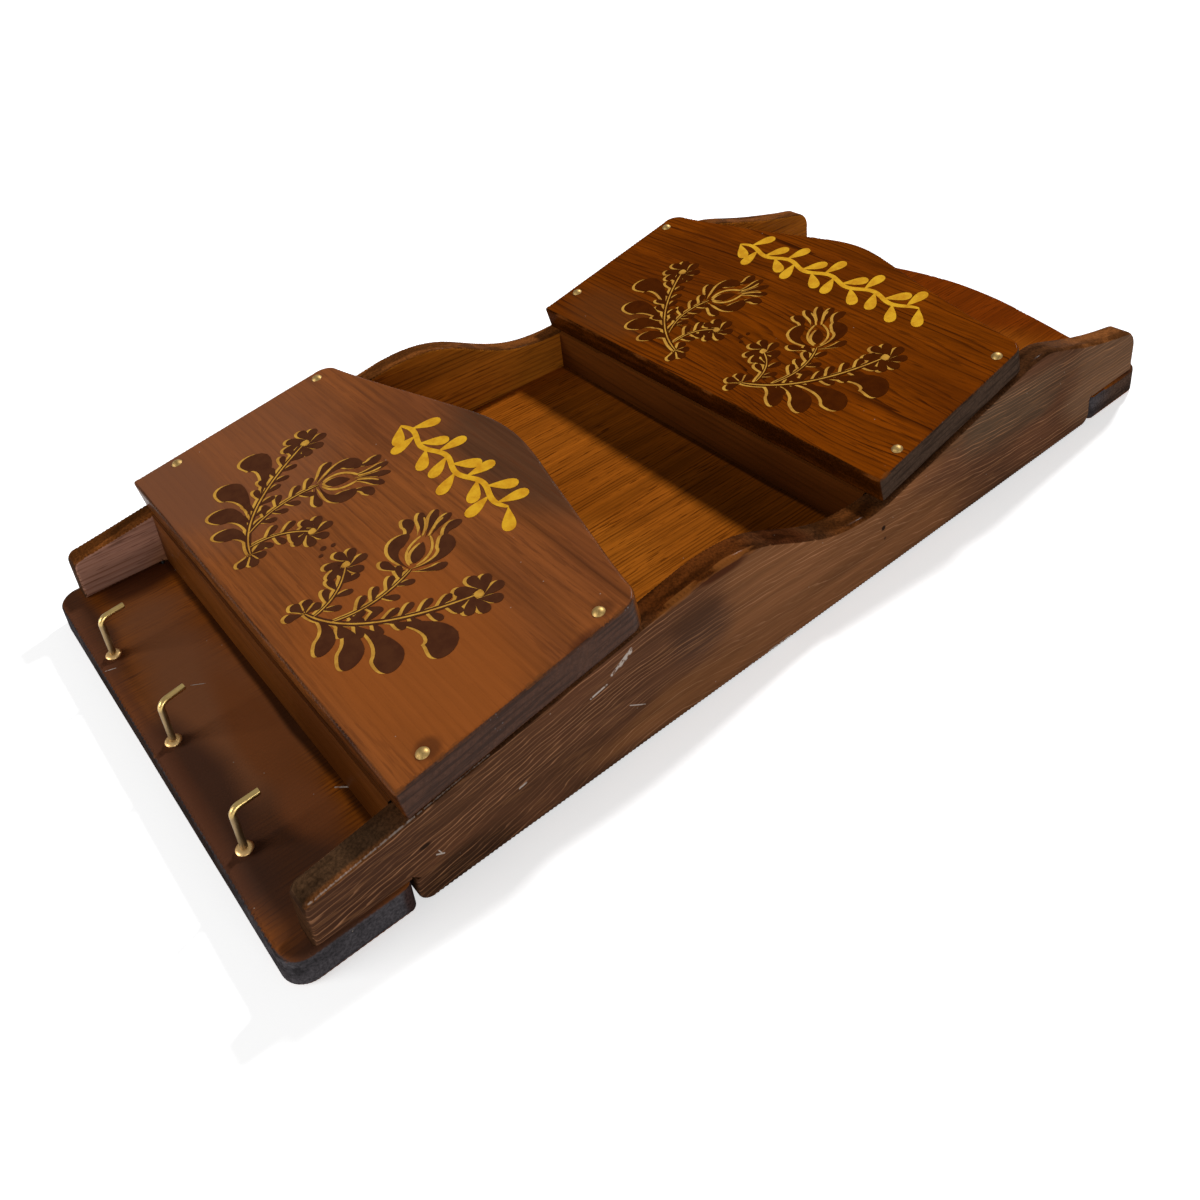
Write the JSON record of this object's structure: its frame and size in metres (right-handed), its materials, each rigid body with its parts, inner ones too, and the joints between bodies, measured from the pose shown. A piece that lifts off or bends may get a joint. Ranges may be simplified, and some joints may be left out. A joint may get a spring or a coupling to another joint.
{
  "type": "wall mail organizer",
  "caption": "Wooden wall mail organizer: backboard and curved sides with an upper and a lower tilted pocket, and square-bent key hooks below.",
  "frame": {"origin": "centre of the organizer's extent on the plane of its back face, the plane that lies against the wall", "axes": "+X to the organizer's right, +Y up the wall towards the crest, +Z out of the wall"},
  "size_m": [0.204, 0.4332, 0.0643],
  "materials": {
    "varnished_backboard": "dark walnut stain under gloss varnish, grain lengthwise",
    "varnished_side": "dark stain with worn paler arrises, grain lengthwise",
    "stained_panel": "red-brown stain under satin varnish, grain crosswise, painted sprays",
    "varnished_shelf": "brown stain under varnish",
    "brass_pin": "tarnished yellow brass",
    "brass_hook": "bright drawn brass wire",
    "brass_collar": "bright pressed brass",
    "zinc_plate": "dull zinc-plated steel",
    "steel_screw": "dull zinc-plated steel",
    "steel_nail": "plain steel"
  },
  "bodies": {
    "root": {"backboard": "varnished_backboard", "side_left": "varnished_side", "side_right": "varnished_side", "bills_panel": "stained_panel", "letters_panel": "stained_panel", "bills_shelf": "varnished_shelf", "letters_shelf": "varnished_shelf", "bills_panel_pins": "brass_pin", "letters_panel_pins": "brass_pin", "key_hook_left": "brass_hook", "key_hook_middle": "brass_hook", "key_hook_right": "brass_hook", "hook_collar_left": "brass_collar", "hook_collar_middle": "brass_collar", "hook_collar_right": "brass_collar", "hanger_plate_left": "zinc_plate", "hanger_plate_right": "zinc_plate", "hanger_screws": "steel_screw", "side_nails": "steel_nail", "shelf_nails": "steel_nail", "ear_nails": "steel_nail"}
  },
  "joints": []
}
